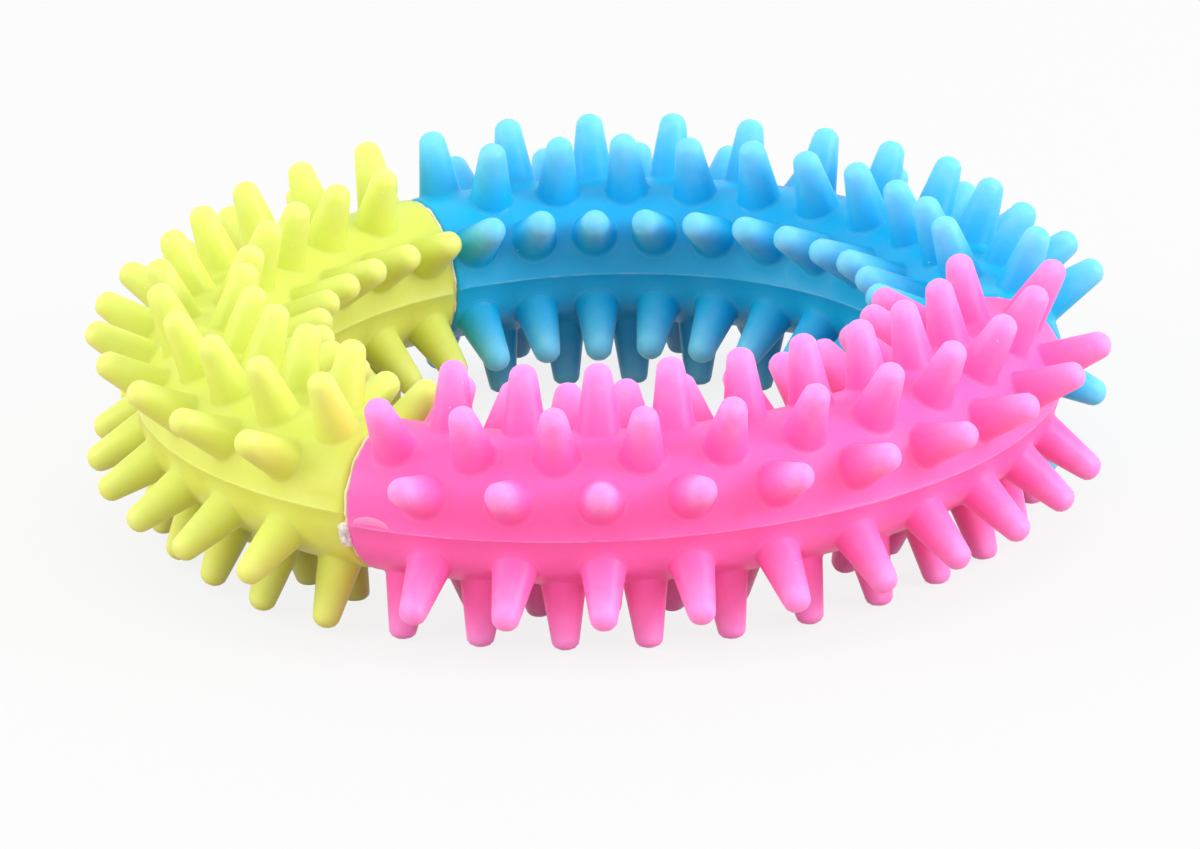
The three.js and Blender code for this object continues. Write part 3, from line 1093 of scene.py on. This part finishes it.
def add_floor(stage):
    """A pale floor that is seen as nearly white and keeps a soft shadow."""
    mesh = bpy.data.meshes.new("floor")
    corners = [(x * FLOOR_REACH, y * FLOOR_REACH) for x, y in ((-1, -1), (1, -1), (1, 1), (-1, 1))]
    mesh.from_pydata([(x, y, FLOOR_LEVEL) for x, y in corners], [], [(0, 1, 2, 3)])
    floor = bpy.data.objects.new("floor", mesh)
    bpy.context.scene.collection.objects.link(floor)
    material = bpy.data.materials.new("pale_floor")
    material.use_nodes = True
    tree = material.node_tree
    shader = tree.nodes["Principled BSDF"]
    seen = ray_is_seen(tree)
    feed_all(shader, {
        "Base Color": mixed(Vector(stage.floor_bounce), Vector(stage.floor_colour), seen),
        "Roughness": FLOOR_ROUGHNESS, "Specular IOR Level": FLOOR_SHINE})
    white = tree.nodes.new("ShaderNodeEmission")
    blend = tree.nodes.new("ShaderNodeMixShader")
    feed(blend.inputs[0], seen * stage.floor_glow)
    tree.links.new(shader.outputs["BSDF"], blend.inputs[1])
    tree.links.new(white.outputs["Emission"], blend.inputs[2])
    tree.links.new(blend.outputs["Shader"], tree.nodes["Material Output"].inputs["Surface"])
    mesh.materials.append(material)


def add_lamp(name, power, place):
    """A square soft lamp that faces the ring."""
    light = bpy.data.lights.new(name, "AREA")
    light.energy = power
    light.size = LAMP_SIZE
    lamp = bpy.data.objects.new(name, light)
    lamp.location = place
    lamp.rotation_euler = (-place).to_track_quat("-Z", "Y").to_euler()
    bpy.context.scene.collection.objects.link(lamp)


def set_surround(scene, stage):
    """Even light from all sides, which is seen as white."""
    world = bpy.data.worlds.new("surround")
    scene.world = world
    world.use_nodes = True
    background = world.node_tree.nodes["Background"]
    strength = mixed(stage.sky_strength, 1.0, ray_is_seen(world.node_tree))
    feed_all(background, {"Color": (1, 1, 1, 1), "Strength": strength})


def add_camera(scene, stage):
    """A long lens that looks down on the ring's front."""
    data = bpy.data.cameras.new("camera")
    data.lens = stage.focal_length
    data.sensor_width = SENSOR_WIDTH
    camera = bpy.data.objects.new("camera", data)
    back = Vector((0, -math.cos(stage.elevation), math.sin(stage.elevation)))
    turn = (-back).to_track_quat("-Z", "Y").to_matrix() @ Matrix.Rotation(stage.roll, 3, "Z")
    middle = Vector((0, 0, MIDDLE_HEIGHT))
    place = middle - turn.col[1] * stage.drop + back * stage.distance
    camera.matrix_world = Matrix.Translation(place) @ turn.to_4x4()
    scene.collection.objects.link(camera)
    scene.camera = camera


# Pieces


def values_of(*groups):
    """Values for the inputs of a tree, which have the names of the settings."""
    values = {"Middle Height": MIDDLE_HEIGHT}
    for group in groups:
        for item in group.bl_rna.properties:
            if item.is_runtime:
                values[item.name] = getattr(group, item.identifier)
    return values


def arc_places(ring):
    """Name, roll and start angle of each arc."""
    return [
        (name, getattr(ring, f"{name}_roll"), FIRST_JOINT_ANGLE + index * ARC_ANGLE)
        for index, name in enumerate(ARC_NAMES)]


class CHEW_RING_OT_arcs(bpy.types.Operator):
    """Make the three spiked arcs"""

    bl_idname = "chew_ring.arcs"
    bl_label = "Spiked Arcs"

    def execute(self, context):
        settings = context.scene.chew_ring
        ring, spikes = settings.ring, settings.spikes
        tree = spiked_arc_tree()
        sizes = values_of(settings.bonds, ring, spikes)
        for index, (name, roll, start_angle) in enumerate(arc_places(ring)):
            colours = settings.colours
            # The tip colours paint the spikes paler towards their tips: painted light
            material = rubber_material(
                f"{name}_rubber", getattr(colours, name), getattr(colours, f"{name}_tips"),
                colours.lint, ARC_SOFTNESS)
            own = {
                "Roll": roll, "Start Angle": start_angle, "Seed": spikes.seed + index,
                "Material": material}
            net = tile_net(f"{name}_net", settings)
            piece = made_by_nodes(f"{name}_spiked_arc", tree, sizes | own, net)
            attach(piece, BODY)
            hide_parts(f"{name}_arc")
        return {"FINISHED"}


class CHEW_RING_OT_gate_marks(bpy.types.Operator):
    """Make the crescents that the mould's gates left near the start of each arc"""

    bl_idname = "chew_ring.gate_marks"
    bl_label = "Gate Marks"

    def execute(self, context):
        settings = context.scene.chew_ring
        ring = settings.ring
        tree = gate_mark_tree()
        sizes = values_of(ring, settings.gates)
        for name, roll, start_angle in arc_places(ring):
            colour = getattr(settings.colours, name)
            # The mark is a little paler than its arc, and painted paler still towards its rim: a
            # painted highlight
            foot, lit_rim = ([mixed(value, 1, share) for value in colour] for share in GATE_PALENESS)
            material = rubber_material(
                f"{name}_gate_rubber", foot, lit_rim, settings.colours.lint, GATE_SOFTNESS)
            own = {"Roll": roll, "Start Angle": start_angle, "Material": material}
            piece = made_by_nodes(f"{name}_gate_mark", tree, sizes | own)
            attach(piece, BODY)
        return {"FINISHED"}


class CHEW_RING_OT_adhesive(bpy.types.Operator):
    """Make the beads of adhesive in the three joints"""

    bl_idname = "chew_ring.adhesive"
    bl_label = "Adhesive"

    def execute(self, context):
        settings = context.scene.chew_ring
        bonds = settings.bonds
        tree = adhesive_bead_tree()
        material = adhesive_material(settings.colours)
        sizes = values_of(settings.ring, bonds)
        for index, name in enumerate(JOINT_NAMES):
            own = {
                "Squeeze Angle": getattr(bonds, f"{name}_squeeze"),
                "Start Angle": FIRST_JOINT_ANGLE + index * ARC_ANGLE,
                "Seed": float(bonds.seed + index), "Material": material}
            piece = made_by_nodes(f"{name}_adhesive", tree, sizes | own)
            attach(piece, BODY)
            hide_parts(f"bond_{name}")
        return {"FINISHED"}


class CHEW_RING_OT_plugs(bpy.types.Operator):
    """Finish the dowel plugs inside the joints"""

    bl_idname = "chew_ring.plugs"
    bl_label = "Plugs"

    def execute(self, context):
        material = plug_material(context.scene.chew_ring.colours)
        for name in JOINT_NAMES:
            for material_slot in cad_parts[f"plug_{name}"].material_slots:
                material_slot.material = material
        return {"FINISHED"}


class CHEW_RING_OT_stage(bpy.types.Operator):
    """Set up the floor, the lamps and the camera"""

    bl_idname = "chew_ring.stage"
    bl_label = "Stage"

    def execute(self, context):
        stage = context.scene.chew_ring.stage
        add_floor(stage)
        add_lamp("key_lamp", stage.key_power, KEY_PLACE)
        add_lamp("fill_lamp", stage.fill_power, FILL_PLACE)
        set_surround(context.scene, stage)
        add_camera(context.scene, stage)
        context.scene.view_settings.view_transform = "Standard"
        return {"FINISHED"}


class CHEW_RING_PT_panel(bpy.types.Panel):
    """Lists the ring's pieces and its stage"""

    bl_idname = "CHEW_RING_PT_panel"
    bl_label = "Chew Ring"
    bl_space_type = "VIEW_3D"
    bl_region_type = "UI"
    bl_category = "Chew Ring"

    def draw(self, context):
        for operator in OPERATORS:
            self.layout.operator(operator.bl_idname)


OPERATORS = (
    CHEW_RING_OT_arcs, CHEW_RING_OT_gate_marks, CHEW_RING_OT_adhesive, CHEW_RING_OT_plugs,
    CHEW_RING_OT_stage)
GROUPS = (
    RingSizes, SpikeSizes, GateSizes, BondSizes, FinishColours, StageSettings, ChewRingSettings)
CLASSES = (*GROUPS, *OPERATORS, CHEW_RING_PT_panel)


def register():
    for item in CLASSES:
        bpy.utils.register_class(item)
    bpy.types.Scene.chew_ring = PointerProperty(type=ChewRingSettings)


def unregister():
    del bpy.types.Scene.chew_ring
    for item in reversed(CLASSES):
        bpy.utils.unregister_class(item)


def main():
    register()
    bpy.ops.chew_ring.arcs()
    bpy.ops.chew_ring.gate_marks()
    bpy.ops.chew_ring.adhesive()
    bpy.ops.chew_ring.plugs()
    bpy.ops.chew_ring.stage()


if __name__ == "__main__":
    main()
